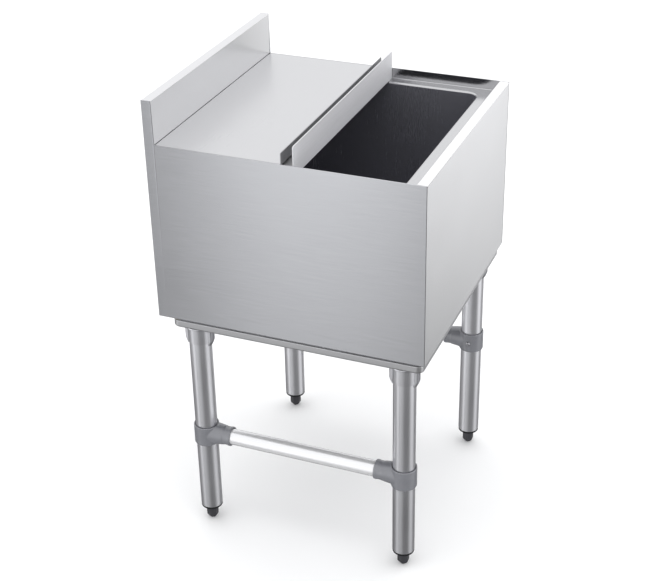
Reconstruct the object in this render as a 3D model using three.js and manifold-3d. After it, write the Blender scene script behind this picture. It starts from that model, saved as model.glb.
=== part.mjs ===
// An insulated underbar ice bin: a folded sheet-steel body around a deep tub, a raised backsplash,
// a rear lid that lifts off, a front lid that slides under it, and four tubular legs tied in pairs
// by a rail on each side. Millimetres, +Z up, floor at z = 0, front towards -Y, left side at -X.

import * as THREE from 'three';
import { mergeVertices } from 'three/addons/utils/BufferGeometryUtils.js';
import Module from 'manifold-3d';

// ---------------------------------------------------------------- driving dimensions

const GAP = 0.3;                 // air left between pieces that touch
const OVERLAP = 1;               // how far joined shapes run into each other, or cutters run past
const SHEET = 1.5;               // body sheet
const LID_SHEET = 1.2;           // lid sheet

const BODY_WIDTH = 448;
const BODY_DEPTH = 465;
const BODY_HEIGHT = 311;
const RIM_HEIGHT = 738;          // working height, floor to rim
const SPLASH_HEIGHT = 74;        // backsplash above the rim
const SPLASH_DEPTH = 16.5;
const FRONT_RIM = 17;            // flat rim along the front
const SIDE_SEAM = 0.6;           // seam between the side panels and the front and back panels
const PANEL_FLANGE = 12;         // inward fold along the bottom of each panel

const LEDGE_DROP = 18.8;         // ledge that carries the lids, below the rim
const TUB_HALF_WIDTH = 202;
const TUB_FRONT = -185.5;
const TUB_BACK = 190;
const TUB_FLOOR = 468;
const TUB_CORNER = 22;           // upright corners of the tub
const TUB_BOTTOM_RADIUS = 18;

const LID_SIDE_GAP = 0.8;        // each lid to the side panels
const REAR_LID_FRONT = 1.3;      // where the deck turns up into its flange
const REAR_FLANGE_HEIGHT = 18;   // above the deck
const REAR_FLANGE_CHAMFER = 8;
const FRONT_LID_FACE = -20;      // front face of the sliding lid's flange
const FRONT_FLANGE_RISE = 31;    // above the rim
const FRONT_FLANGE_CORNER = 5;
const FRONT_PLATE_DROP = 3.8;    // the sliding plate's top, below the rim
const FRONT_PLATE_INSET = 5;     // sliding plate to the side panels, each side
const LID_STOP = 3;              // sliding plate to the rear lid's back skirt when fully open

const TRAY_HALF_WIDTH = 219;
const TRAY_FRONT = -228;
const TRAY_BACK = 212;
const TRAY_BOTTOM = 408;
const TRAY_BAND = 13.5;          // height of the visible band
const TRAY_CORNER = 12;
const TRAY_EDGE = 4;             // rounding of the lower edge
const NECK_INSET = 9;            // shadow recess between band and body

const LEG_X = 192;
const LEG_FRONT = -190;
const LEG_BACK = 175.5;
const LEG_RADIUS = 19.05;
const LEG_WALL = 1.5;
const LEG_BOTTOM = 32;
const SOCKET_WALL = 1.2;
const SOCKET_BOTTOM = 375;
const SOCKET_PLATE = 3;
const SOCKET_PLATE_RADIUS = 25;
const EAR_WIDTH = 15;
const EAR_DEPTH = 5;             // how far an ear stands off the sleeve
const EAR_BOTTOM = 369;
const EAR_SLOPE = Math.PI / 6;

const RAIL_RADIUS = 14;
const RAIL_WALL = 1.5;
const LEFT_RAIL_HEIGHT = 186.5;
const RIGHT_RAIL_HEIGHT = 233;
const TEE_RADIUS = 22;
const TEE_SHOULDER = 1.5;        // fairing set in from the collar at the leg end
const TEE_HEIGHT = 37;
const TEE_REACH = 50;            // leg axis to the mouth of the rail socket
const TEE_SOCKET_RADIUS = 17;
const TEE_FAIRING_LENGTH = 34;
const TEE_BORE_END = 24;         // leg axis to the blind end of the rail socket

const INSERT_FLANGE = 4;
const INSERT_LENGTH = 28;
const FOOT_RADIUS = 10.8;        // across the corners
const FOOT_TIP_RADIUS = 6;
const FOOT_TAPER = 6;
const STUD_RADIUS = 5;
const STUD_TOP = 50;
const STUD_BOTTOM = 9;           // the stud ends inside the foot

const SCREW_RADIUS = 2;
const SCREW_HEAD_RADIUS = 4;
const SCREW_HEAD_HEIGHT = 2.5;

const DRAIN_NECK_RADIUS = 15.5;
const DRAIN_BORE_RADIUS = 13;
const DRAIN_FLANGE_RADIUS = 28;
const DRAIN_FLANGE = 2;
const DRAIN_NECK_BOTTOM = 432;
const DRAIN_HOLES = 8;
const DRAIN_HOLE_RADIUS = 2.2;
const DRAIN_HOLE_CIRCLE = 8;     // radius of the ring of holes
const TAILPIECE_RADIUS = 19;
const TAILPIECE_TOP = 455;
const TAILPIECE_BOTTOM = 352;
const LOCKNUT_RADIUS = 26;
const LOCKNUT_HEIGHT = 6;
const GASKET_THICKNESS = 2;
const GASKET_RADIUS = 26;
const FOAM_WELL_RADIUS = 32;     // room for the drain fittings in the foam

const ROUND = 32;                // sides of the tubes and round pieces
const FINE = 12;                 // sides of the screws and studs
const SMALL = 8;                 // sides of the strainer's holes
const HEX = 6;                   // sides of the nut and the levelling feet
const TUB_CORNER_STEPS = 6;      // steps around the tub's upright corners
const TUB_EDGE_STEPS = 3;        // steps around the tub's bottom edge
const TRAY_CORNER_STEPS = 4;
const TRAY_EDGE_STEPS = 2;
const FLANGE_CORNER_STEPS = 4;   // steps around the rounded corners of a lid's flange
const SLIVER = 0.02;             // details smaller than this are merged away after a join or cut
const STEPS_PER_MM = 100;        // corners sit on a grid of 0.01 mm, so that shared faces agree

// ---------------------------------------------------------------- places worked out from them

const HALF_WIDTH = BODY_WIDTH / 2;
const FRONT = -BODY_DEPTH / 2;
const BACK = BODY_DEPTH / 2;
const BODY_BOTTOM = RIM_HEIGHT - BODY_HEIGHT;
const SPLASH_FACE = BACK - SPLASH_DEPTH;
const SPLASH_TOP = RIM_HEIGHT + SPLASH_HEIGHT;
const SIDE_INSIDE = HALF_WIDTH - SHEET;
const PANEL_HALF = SIDE_INSIDE - SIDE_SEAM;
const LEDGE = RIM_HEIGHT - LEDGE_DROP;
const LID_HALF = SIDE_INSIDE - LID_SIDE_GAP;
const LID_BASE = LEDGE + GAP;
const LID_BACK = SPLASH_FACE - LID_SIDE_GAP;
const TUB_CENTRE_Y = (TUB_FRONT + TUB_BACK) / 2;
const TRAY_CENTRE_Y = (TRAY_FRONT + TRAY_BACK) / 2;
const SOCKET_RADIUS = LEG_RADIUS + GAP + SOCKET_WALL;
const SOCKET_TOP = TRAY_BOTTOM - GAP;
const LEG_TOP = SOCKET_TOP - SOCKET_PLATE - GAP;
const SOCKET_SCREW_Z = (SOCKET_BOTTOM + SOCKET_TOP - SOCKET_PLATE) / 2;
const FOOT_TOP = LEG_BOTTOM - INSERT_FLANGE - 2 * GAP;

// ---------------------------------------------------------------- materials

function steel(color, roughness) {
  return new THREE.MeshStandardMaterial({ color, roughness, metalness: 1 });
}

function plastic(color, roughness) {
  return new THREE.MeshStandardMaterial({ color, roughness, metalness: 0 });
}

const panelSteel = steel(0xc4c6c9, 0.38);
const lidSteel = steel(0xd3d4d6, 0.34);
const tubSteel = steel(0x8c8e92, 0.22);
const legSteel = steel(0xb9bac2, 0.32);
const railSteel = steel(0xdfe0e2, 0.16);
const drainSteel = steel(0xc9cacc, 0.25);
const screwSteel = steel(0xa9aaad, 0.35);
const teePlastic = plastic(0x7c7d86, 0.55);
const footPlastic = plastic(0x3c3d42, 0.6);
const insertPlastic = plastic(0x1b1c1f, 0.55);
const foam = plastic(0xe8dfb8, 0.95);
const rubber = plastic(0x242424, 0.85);

// ---------------------------------------------------------------- solid helpers

const wasm = await Module();
wasm.setup();

function withoutSlivers(index) {
  const kept = [];
  for (let i = 0; i < index.length; i += 3) {
    const [a, b, c] = [index[i], index[i + 1], index[i + 2]];
    if (a !== b && b !== c && c !== a) {
      kept.push(a, b, c);
    }
  }
  return new Uint32Array(kept);
}

function solid(geometry) {
  const bare = geometry.clone();
  bare.deleteAttribute('normal');
  bare.deleteAttribute('uv');
  const { position } = bare.attributes;
  for (let i = 0; i < position.array.length; i += 1) {
    position.array[i] = Math.round(position.array[i] * STEPS_PER_MM) / STEPS_PER_MM;
  }
  const merged = mergeVertices(bare, 0.5 / STEPS_PER_MM);
  return new wasm.Manifold(new wasm.Mesh({
    numProp: 3,
    vertProperties: new Float32Array(merged.attributes.position.array),
    triVerts: withoutSlivers(merged.index.array),
  }));
}

function geometryOf(shape) {
  const { vertProperties, triVerts } = shape.simplify(SLIVER).getMesh();
  const geometry = new THREE.BufferGeometry();
  geometry.setAttribute('position', new THREE.BufferAttribute(vertProperties, 3));
  geometry.setIndex(new THREE.BufferAttribute(triVerts, 1));
  geometry.computeVertexNormals();
  return geometry;
}

function lowFirst(a, b) {
  return [Math.min(a, b), Math.max(a, b)];
}

function join(first, ...others) {
  return others.reduce((whole, piece) => whole.add(piece), first);
}

function cut(whole, ...cutters) {
  return cutters.reduce((rest, cutter) => rest.subtract(cutter), whole);
}

// A box from its lowest to its highest value on each axis.
function box([x0, x1], [y0, y1], [z0, z1]) {
  const geometry = new THREE.BoxGeometry(x1 - x0, y1 - y0, z1 - z0);
  geometry.translate((x0 + x1) / 2, (y0 + y1) / 2, (z0 + z1) / 2);
  return solid(geometry);
}

// An upright cylinder or cone frustum at (x, y).
function post([x, y], radius, [z0, z1], { topRadius = radius, sides = ROUND } = {}) {
  const geometry = new THREE.CylinderGeometry(topRadius, radius, z1 - z0, sides);
  geometry.rotateX(Math.PI / 2);
  geometry.translate(x, y, (z0 + z1) / 2);
  return solid(geometry);
}

// A round bar along Y at (x, z), with its own radius at each end.
function barAlongY([x, z], radius, [y0, y1], { endRadius = radius, sides = ROUND } = {}) {
  const geometry = new THREE.CylinderGeometry(endRadius, radius, y1 - y0, sides);
  geometry.translate(x, (y0 + y1) / 2, z);
  return solid(geometry);
}

// A round bar along X at (y, z).
function barAlongX([y, z], radius, [x0, x1], sides = FINE) {
  const geometry = new THREE.CylinderGeometry(radius, radius, x1 - x0, sides);
  geometry.rotateZ(Math.PI / 2);
  geometry.translate((x0 + x1) / 2, y, z);
  return solid(geometry);
}

function ring(centre, outer, inner, [z0, z1]) {
  return cut(post(centre, outer, [z0, z1]), post(centre, inner, [z0 - OVERLAP, z1 + OVERLAP]));
}

function roundedRectangle(width, depth, radius) {
  const [w, d] = [width / 2, depth / 2];
  const shape = new THREE.Shape();
  shape.moveTo(-w + radius, -d);
  shape.lineTo(w - radius, -d);
  shape.absarc(w - radius, -d + radius, radius, -Math.PI / 2, 0);
  shape.lineTo(w, d - radius);
  shape.absarc(w - radius, d - radius, radius, 0, Math.PI / 2);
  shape.lineTo(-w + radius, d);
  shape.absarc(-w + radius, d - radius, radius, Math.PI / 2, Math.PI);
  shape.lineTo(-w, -d + radius);
  shape.absarc(-w + radius, -d + radius, radius, Math.PI, 1.5 * Math.PI);
  return shape;
}

// An upright block with rounded corners and a rounded lower edge.
function pan({ width, depth, centreY, corner, edge, bottom, top, cornerSteps, edgeSteps }) {
  const inner = roundedRectangle(width - 2 * edge, depth - 2 * edge, corner - edge);
  const geometry = new THREE.ExtrudeGeometry(inner, {
    depth: top + OVERLAP - bottom - edge,
    curveSegments: cornerSteps,
    bevelEnabled: true,
    bevelSize: edge,
    bevelThickness: edge,
    bevelSegments: edgeSteps,
  });
  geometry.translate(0, centreY, bottom + edge);
  const above = box([-width, width], [-BODY_DEPTH, BODY_DEPTH], [top, top + 2 * OVERLAP + 2 * edge]);
  return cut(solid(geometry), above);
}

// An outline in the X-Z plane, extruded along Y from y0 to y1.
function plateAlongY(outline, [y0, y1]) {
  const geometry = new THREE.ExtrudeGeometry(outline, {
    depth: y1 - y0,
    curveSegments: FLANGE_CORNER_STEPS,
    bevelEnabled: false,
  });
  geometry.rotateX(Math.PI / 2);
  geometry.translate(0, y1, 0);
  return solid(geometry);
}

// ---------------------------------------------------------------- scene group

const iceBin = new THREE.Group();

function add(name, shape, material) {
  const mesh = new THREE.Mesh(geometryOf(shape), material);
  mesh.name = name;
  iceBin.add(mesh);
}

// ---------------------------------------------------------------- body panels

// Side panel: one sheet that also closes the end of the backsplash, folded inwards at the bottom.
function sidePanel(side) {
  const sheet = lowFirst(side * HALF_WIDTH, side * SIDE_INSIDE);
  const fold = lowFirst(side * HALF_WIDTH, side * (SIDE_INSIDE - PANEL_FLANGE));
  return join(
    box(sheet, [FRONT, BACK], [BODY_BOTTOM, RIM_HEIGHT]),
    box(sheet, [SPLASH_FACE, BACK], [RIM_HEIGHT - OVERLAP, SPLASH_TOP]),
    box(fold, [FRONT + SHEET, BACK - SHEET], [BODY_BOTTOM, BODY_BOTTOM + SHEET]),
  );
}

// Front panel: face, flat rim, the return down to the ledge, and a fold along the bottom.
function frontPanel() {
  const across = [-PANEL_HALF, PANEL_HALF];
  const rimBack = FRONT + FRONT_RIM;
  const foldAcross = [-PANEL_HALF + PANEL_FLANGE, PANEL_HALF - PANEL_FLANGE];
  return join(
    box(across, [FRONT, FRONT + SHEET], [BODY_BOTTOM, RIM_HEIGHT]),
    box(across, [FRONT, rimBack], [RIM_HEIGHT - SHEET, RIM_HEIGHT]),
    box(across, [rimBack - SHEET, rimBack], [LEDGE + GAP, RIM_HEIGHT]),
    box(foldAcross, [FRONT, FRONT + PANEL_FLANGE], [BODY_BOTTOM, BODY_BOTTOM + SHEET]),
  );
}

function backPanel() {
  const across = [-PANEL_HALF, PANEL_HALF];
  const foldAcross = [-PANEL_HALF + PANEL_FLANGE, PANEL_HALF - PANEL_FLANGE];
  return join(
    box(across, [BACK - SHEET, BACK], [BODY_BOTTOM, RIM_HEIGHT - GAP]),
    box(foldAcross, [BACK - PANEL_FLANGE, BACK], [BODY_BOTTOM, BODY_BOTTOM + SHEET]),
  );
}

// Backsplash: a channel open below, whose front face runs down to the ledge.
function backsplash() {
  const across = [-SIDE_INSIDE + GAP, SIDE_INSIDE - GAP];
  return join(
    box(across, [SPLASH_FACE, SPLASH_FACE + SHEET], [LEDGE + GAP, SPLASH_TOP]),
    box(across, [SPLASH_FACE, BACK], [SPLASH_TOP - SHEET, SPLASH_TOP]),
    box(across, [BACK - SHEET, BACK], [RIM_HEIGHT, SPLASH_TOP]),
  );
}

// ---------------------------------------------------------------- tub and insulation

function tubBlock(grow, bottom, top) {
  return pan({
    width: 2 * (TUB_HALF_WIDTH + grow),
    depth: TUB_BACK - TUB_FRONT + 2 * grow,
    centreY: TUB_CENTRE_Y,
    corner: TUB_CORNER + grow,
    edge: TUB_BOTTOM_RADIUS + grow,
    bottom,
    top,
    cornerSteps: TUB_CORNER_STEPS,
    edgeSteps: TUB_EDGE_STEPS,
  });
}

// Tub liner: a deep drawn tub whose flange is the ledge that carries the lids.
function tubLiner() {
  const flange = box(
    [-SIDE_INSIDE + GAP, SIDE_INSIDE - GAP],
    [FRONT + SHEET + GAP, SPLASH_FACE + SHEET],
    [LEDGE - SHEET, LEDGE],
  );
  const shell = join(flange, tubBlock(SHEET, TUB_FLOOR - SHEET, LEDGE));
  const drainHole = post(
    [0, TUB_CENTRE_Y],
    DRAIN_NECK_RADIUS + GAP,
    [TUB_FLOOR - SHEET - OVERLAP, TUB_FLOOR + OVERLAP],
  );
  return cut(shell, tubBlock(0, TUB_FLOOR, LEDGE + OVERLAP), drainHole);
}

// Foam slabs fill the space between the tub and the body panels.
function addInsulation() {
  const foamBottom = BODY_BOTTOM + SHEET + GAP;
  const underTub = TUB_FLOOR - SHEET - GAP;
  const wallZ = [underTub + GAP, LEDGE - SHEET - GAP];
  const tubSide = TUB_HALF_WIDTH + SHEET + GAP;
  const panelSide = SIDE_INSIDE - GAP;
  const frontY = [FRONT + SHEET + GAP, TUB_FRONT - SHEET - GAP];
  const backY = [TUB_BACK + SHEET + GAP, BACK - SHEET - GAP];
  const betweenY = [frontY[1] + GAP, backY[0] - GAP];
  const bottomSlab = box([-panelSide, panelSide], [frontY[0], backY[1]], [foamBottom, underTub]);
  const well = post(
    [0, TUB_CENTRE_Y],
    FOAM_WELL_RADIUS,
    [foamBottom - OVERLAP, underTub + OVERLAP],
  );
  add('insulation_bottom', cut(bottomSlab, well), foam);
  add('insulation_front', box([-panelSide, panelSide], frontY, wallZ), foam);
  add('insulation_back', box([-panelSide, panelSide], backY, wallZ), foam);
  add('insulation_left', box([-panelSide, -tubSide], betweenY, wallZ), foam);
  add('insulation_right', box([tubSide, panelSide], betweenY, wallZ), foam);
}

// ---------------------------------------------------------------- drain

// Strainer: a flange in the tub's floor with a ring of holes, and the neck that the rest screws on to.
function drainStrainer(centre) {
  const flangeBottom = TUB_FLOOR + GAP;
  const flangeTop = flangeBottom + DRAIN_FLANGE;
  const body = join(
    post(centre, DRAIN_FLANGE_RADIUS, [flangeBottom, flangeTop]),
    post(centre, DRAIN_NECK_RADIUS, [DRAIN_NECK_BOTTOM, flangeTop]),
  );
  const bore = post(centre, DRAIN_BORE_RADIUS, [DRAIN_NECK_BOTTOM - OVERLAP, flangeBottom]);
  const holes = [];
  for (let i = 0; i < DRAIN_HOLES; i += 1) {
    const angle = (i / DRAIN_HOLES) * 2 * Math.PI;
    const x = centre[0] + DRAIN_HOLE_CIRCLE * Math.cos(angle);
    const y = centre[1] + DRAIN_HOLE_CIRCLE * Math.sin(angle);
    const holeZ = [flangeBottom - OVERLAP, flangeTop + OVERLAP];
    holes.push(post([x, y], DRAIN_HOLE_RADIUS, holeZ, { sides: SMALL }));
  }
  return cut(body, bore, ...holes);
}

// The strainer is clamped to the tub's floor by a gasket and a locknut; the tailpiece leads down.
function addDrain() {
  const centre = [0, TUB_CENTRE_Y];
  const threadClear = DRAIN_NECK_RADIUS + GAP;
  const gasketTop = TUB_FLOOR - SHEET - GAP;
  const gasketZ = [gasketTop - GASKET_THICKNESS, gasketTop];
  const nutTop = gasketZ[0] - GAP;
  const nutZ = [nutTop - LOCKNUT_HEIGHT, nutTop];
  const nutBore = post(centre, threadClear, [nutZ[0] - OVERLAP, nutTop + OVERLAP]);
  const nut = cut(post(centre, LOCKNUT_RADIUS, nutZ, { sides: HEX }), nutBore);
  const tailpieceZ = [TAILPIECE_BOTTOM, TAILPIECE_TOP];
  add('drain_strainer', drainStrainer(centre), drainSteel);
  add('drain_gasket', ring(centre, GASKET_RADIUS, threadClear, gasketZ), rubber);
  add('drain_locknut', nut, drainSteel);
  add('drain_tailpiece', ring(centre, TAILPIECE_RADIUS, threadClear, tailpieceZ), drainSteel);
}

// ---------------------------------------------------------------- lids

// Rear lid: a lift-off deck with an upturned front flange and skirts that stand on the ledge.
function rearLid() {
  const across = [-LID_HALF, LID_HALF];
  const skirtInside = LID_HALF - LID_SHEET;
  const frontY = [REAR_LID_FRONT - LID_SHEET, REAR_LID_FRONT];
  const deckY = [frontY[0], LID_BACK];
  const deckZ = [RIM_HEIGHT - LID_SHEET, RIM_HEIGHT];
  const skirtZ = [LID_BASE, RIM_HEIGHT - LID_SHEET / 2];
  const flangeTop = RIM_HEIGHT + REAR_FLANGE_HEIGHT;
  const flange = new THREE.Shape([
    new THREE.Vector2(-LID_HALF, RIM_HEIGHT - LID_SHEET),
    new THREE.Vector2(LID_HALF, RIM_HEIGHT - LID_SHEET),
    new THREE.Vector2(LID_HALF, flangeTop - REAR_FLANGE_CHAMFER),
    new THREE.Vector2(LID_HALF - REAR_FLANGE_CHAMFER, flangeTop),
    new THREE.Vector2(-LID_HALF + REAR_FLANGE_CHAMFER, flangeTop),
    new THREE.Vector2(-LID_HALF, flangeTop - REAR_FLANGE_CHAMFER),
  ]);
  return join(
    box(across, deckY, deckZ),
    plateAlongY(flange, frontY),
    box([-LID_HALF, -skirtInside], deckY, skirtZ),
    box([skirtInside, LID_HALF], deckY, skirtZ),
    box(across, [LID_BACK - LID_SHEET, LID_BACK], skirtZ),
  );
}

// Front lid: a shallow sliding tray under the deck, with a tall flange that is its handle.
function frontLid() {
  const plateHalf = SIDE_INSIDE - FRONT_PLATE_INSET;
  const plateTop = RIM_HEIGHT - FRONT_PLATE_DROP;
  const plateBack = LID_BACK - LID_SHEET - LID_STOP;
  const flangeTop = RIM_HEIGHT + FRONT_FLANGE_RISE;
  const flangeY = [FRONT_LID_FACE, FRONT_LID_FACE + SHEET];
  const plateY = [(flangeY[0] + flangeY[1]) / 2, plateBack];
  const skirtZ = [LID_BASE, plateTop];
  const corner = FRONT_FLANGE_CORNER;
  const flange = new THREE.Shape();
  flange.moveTo(-LID_HALF, LID_BASE);
  flange.lineTo(LID_HALF, LID_BASE);
  flange.lineTo(LID_HALF, flangeTop - corner);
  flange.absarc(LID_HALF - corner, flangeTop - corner, corner, 0, Math.PI / 2);
  flange.lineTo(-LID_HALF + corner, flangeTop);
  flange.absarc(-LID_HALF + corner, flangeTop - corner, corner, Math.PI / 2, Math.PI);
  return join(
    plateAlongY(flange, flangeY),
    box([-plateHalf, plateHalf], plateY, [plateTop - LID_SHEET, plateTop]),
    box([-plateHalf, -plateHalf + LID_SHEET], plateY, skirtZ),
    box([plateHalf - LID_SHEET, plateHalf], plateY, skirtZ),
  );
}

// ---------------------------------------------------------------- base tray

function trayBand(shrink, [bottom, top]) {
  return pan({
    width: 2 * (TRAY_HALF_WIDTH - shrink),
    depth: TRAY_BACK - TRAY_FRONT - 2 * shrink,
    centreY: TRAY_CENTRE_Y,
    corner: TRAY_CORNER - shrink,
    edge: TRAY_EDGE - shrink,
    bottom,
    top,
    cornerSteps: TRAY_CORNER_STEPS,
    edgeSteps: TRAY_EDGE_STEPS,
  });
}

function trayNeck(shrink, neckZ) {
  const halfWidth = TRAY_HALF_WIDTH - shrink;
  return box([-halfWidth, halfWidth], [TRAY_FRONT + shrink, TRAY_BACK - shrink], neckZ);
}

// Base tray: a band that carries the legs, with a narrower neck up to the body.
function baseTray() {
  const bandTop = TRAY_BOTTOM + TRAY_BAND;
  const neckTop = BODY_BOTTOM - GAP;
  const drainHoleZ = [TRAY_BOTTOM - OVERLAP, TRAY_BOTTOM + SHEET + OVERLAP];
  return cut(
    join(trayBand(0, [TRAY_BOTTOM, bandTop]), trayNeck(NECK_INSET, [bandTop - OVERLAP, neckTop])),
    trayBand(SHEET, [TRAY_BOTTOM + SHEET, bandTop - SHEET]),
    trayNeck(NECK_INSET + SHEET, [bandTop - 2 * SHEET, neckTop + OVERLAP]),
    post([0, TUB_CENTRE_Y], TAILPIECE_RADIUS + OVERLAP, drainHoleZ),
  );
}

// ---------------------------------------------------------------- legs

// A tapering ear on the front or back of a leg socket, flush with the sleeve at its lower tip.
function socketEar(x, y, direction) {
  const start = y + direction * (LEG_RADIUS + GAP);
  const end = y + direction * (SOCKET_RADIUS + EAR_DEPTH);
  const along = lowFirst(start, end);
  const block = box([x - EAR_WIDTH / 2, x + EAR_WIDTH / 2], along, [EAR_BOTTOM, SOCKET_TOP]);
  const slope = new THREE.BoxGeometry(2 * EAR_WIDTH, 4 * EAR_DEPTH, 4 * EAR_DEPTH);
  slope.translate(0, direction * 2 * EAR_DEPTH, -2 * EAR_DEPTH);
  slope.rotateX(direction * -EAR_SLOPE);
  slope.translate(x, start + direction * SOCKET_WALL, EAR_BOTTOM);
  return cut(block, solid(slope));
}

// Leg socket: plate under the tray, sleeve around the leg, an ear in front and one behind.
function legSocket(x, y, screwSide) {
  const bore = post([x, y], LEG_RADIUS + GAP, [EAR_BOTTOM - OVERLAP, SOCKET_TOP - SOCKET_PLATE]);
  const whole = join(
    post([x, y], SOCKET_PLATE_RADIUS, [SOCKET_TOP - SOCKET_PLATE, SOCKET_TOP]),
    post([x, y], SOCKET_RADIUS, [SOCKET_BOTTOM, SOCKET_TOP]),
    socketEar(x, y, 1),
    socketEar(x, y, -1),
  );
  return cut(whole, bore, screwHole(x, y, SOCKET_SCREW_Z, SOCKET_RADIUS, screwSide));
}

function screwHole(x, y, z, radius, side) {
  const reach = lowFirst(x + side * LEG_RADIUS, x + side * (radius + OVERLAP));
  return barAlongX([y, z], SCREW_RADIUS + GAP, reach);
}

// Set screw: shank in the wall, button head outside it.
function setScrew(x, y, z, radius, side) {
  const shank = lowFirst(x + side * (LEG_RADIUS + GAP), x + side * (radius + OVERLAP));
  const headStart = x + side * (radius + GAP);
  const head = lowFirst(headStart, headStart + side * SCREW_HEAD_HEIGHT);
  return join(
    barAlongX([y, z], SCREW_RADIUS, shank),
    barAlongX([y, z], SCREW_HEAD_RADIUS, head),
  );
}

// T connector: collar around the leg and a socket for the rail, joined by a fairing.
function teeConnector(x, y, z, direction, screwSide) {
  const collarZ = [z - TEE_HEIGHT / 2, z + TEE_HEIGHT / 2];
  const along = (from, to) => lowFirst(y + direction * from, y + direction * to);
  const fairingY = along(0, TEE_FAIRING_LENGTH);
  const wide = TEE_RADIUS - TEE_SHOULDER;
  const fairing = direction > 0
    ? barAlongY([x, z], wide, fairingY, { endRadius: TEE_SOCKET_RADIUS })
    : barAlongY([x, z], TEE_SOCKET_RADIUS, fairingY, { endRadius: wide });
  const band = box([x - TEE_RADIUS, x + TEE_RADIUS], along(0, TEE_REACH), collarZ);
  const whole = join(
    post([x, y], TEE_RADIUS, collarZ),
    fairing.intersect(band),
    barAlongY([x, z], TEE_SOCKET_RADIUS, along(0, TEE_REACH)),
  );
  return cut(
    whole,
    post([x, y], LEG_RADIUS + GAP, [collarZ[0] - OVERLAP, collarZ[1] + OVERLAP]),
    barAlongY([x, z], RAIL_RADIUS + GAP, along(TEE_BORE_END, TEE_REACH + OVERLAP)),
    screwHole(x, y, z, TEE_RADIUS, screwSide),
  );
}

function legTube(x, y) {
  return ring([x, y], LEG_RADIUS, LEG_RADIUS - LEG_WALL, [LEG_BOTTOM, LEG_TOP]);
}

// Insert: a plug in the end of the leg, threaded for the foot's stud.
function footInsert(x, y) {
  const plugRadius = LEG_RADIUS - LEG_WALL - GAP;
  const flangeZ = [LEG_BOTTOM - GAP - INSERT_FLANGE, LEG_BOTTOM - GAP];
  const plugZ = [flangeZ[0], LEG_BOTTOM + INSERT_LENGTH];
  const boreZ = [flangeZ[0] - OVERLAP, plugZ[1] + OVERLAP];
  const bore = post([x, y], STUD_RADIUS + GAP, boreZ, { sides: FINE });
  return cut(join(post([x, y], LEG_RADIUS, flangeZ), post([x, y], plugRadius, plugZ)), bore);
}

// Levelling foot: six-sided so that it can be turned, tapered to a small flat tip, hollow for its stud.
function levellingFoot(x, y) {
  const whole = join(
    post([x, y], FOOT_TIP_RADIUS, [0, FOOT_TAPER], { topRadius: FOOT_RADIUS, sides: HEX }),
    post([x, y], FOOT_RADIUS, [FOOT_TAPER, FOOT_TOP], { sides: HEX }),
  );
  const studHole = [STUD_BOTTOM - GAP, FOOT_TOP + OVERLAP];
  return cut(whole, post([x, y], STUD_RADIUS + GAP, studHole, { sides: FINE }));
}

// Threaded stud, fast in the foot, which screws into the insert.
function footStud(x, y) {
  return post([x, y], STUD_RADIUS, [STUD_BOTTOM, STUD_TOP], { sides: FINE });
}

function sideRail(x, z) {
  const span = [LEG_FRONT + TEE_BORE_END + GAP, LEG_BACK - TEE_BORE_END - GAP];
  const past = [span[0] - OVERLAP, span[1] + OVERLAP];
  return cut(barAlongY([x, z], RAIL_RADIUS, span), barAlongY([x, z], RAIL_RADIUS - RAIL_WALL, past));
}

function addLegs() {
  const sides = [
    { side: 'left', x: -LEG_X, inward: 1, railHeight: LEFT_RAIL_HEIGHT },
    { side: 'right', x: LEG_X, inward: -1, railHeight: RIGHT_RAIL_HEIGHT },
  ];
  const ends = [
    { end: 'front', y: LEG_FRONT, towardsMiddle: 1 },
    { end: 'rear', y: LEG_BACK, towardsMiddle: -1 },
  ];
  for (const { side, x, inward, railHeight } of sides) {
    for (const { end, y, towardsMiddle } of ends) {
      const place = `${end}_${side}`;
      add(`leg_socket_${place}`, legSocket(x, y, inward), legSteel);
      add(`socket_screw_${place}`, setScrew(x, y, SOCKET_SCREW_Z, SOCKET_RADIUS, inward), screwSteel);
      add(`leg_${place}`, legTube(x, y), legSteel);
      add(`tee_${place}`, teeConnector(x, y, railHeight, towardsMiddle, inward), teePlastic);
      add(`tee_screw_${place}`, setScrew(x, y, railHeight, TEE_RADIUS, inward), screwSteel);
      add(`foot_insert_${place}`, footInsert(x, y), insertPlastic);
      add(`levelling_foot_${place}`, levellingFoot(x, y), footPlastic);
      add(`foot_stud_${place}`, footStud(x, y), screwSteel);
    }
    add(`side_rail_${side}`, sideRail(x, railHeight), railSteel);
  }
}

// ---------------------------------------------------------------- assembly

add('side_panel_left', sidePanel(-1), panelSteel);
add('side_panel_right', sidePanel(1), panelSteel);
add('front_panel', frontPanel(), panelSteel);
add('back_panel', backPanel(), panelSteel);
add('backsplash', backsplash(), panelSteel);
add('tub_liner', tubLiner(), tubSteel);
addInsulation();
addDrain();
add('base_tray', baseTray(), panelSteel);
add('rear_lid', rearLid(), lidSteel);
add('front_lid', frontLid(), lidSteel);
addLegs();

export default iceBin;
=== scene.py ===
import math

import bmesh
import bpy
from mathutils import Matrix, Vector


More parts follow.
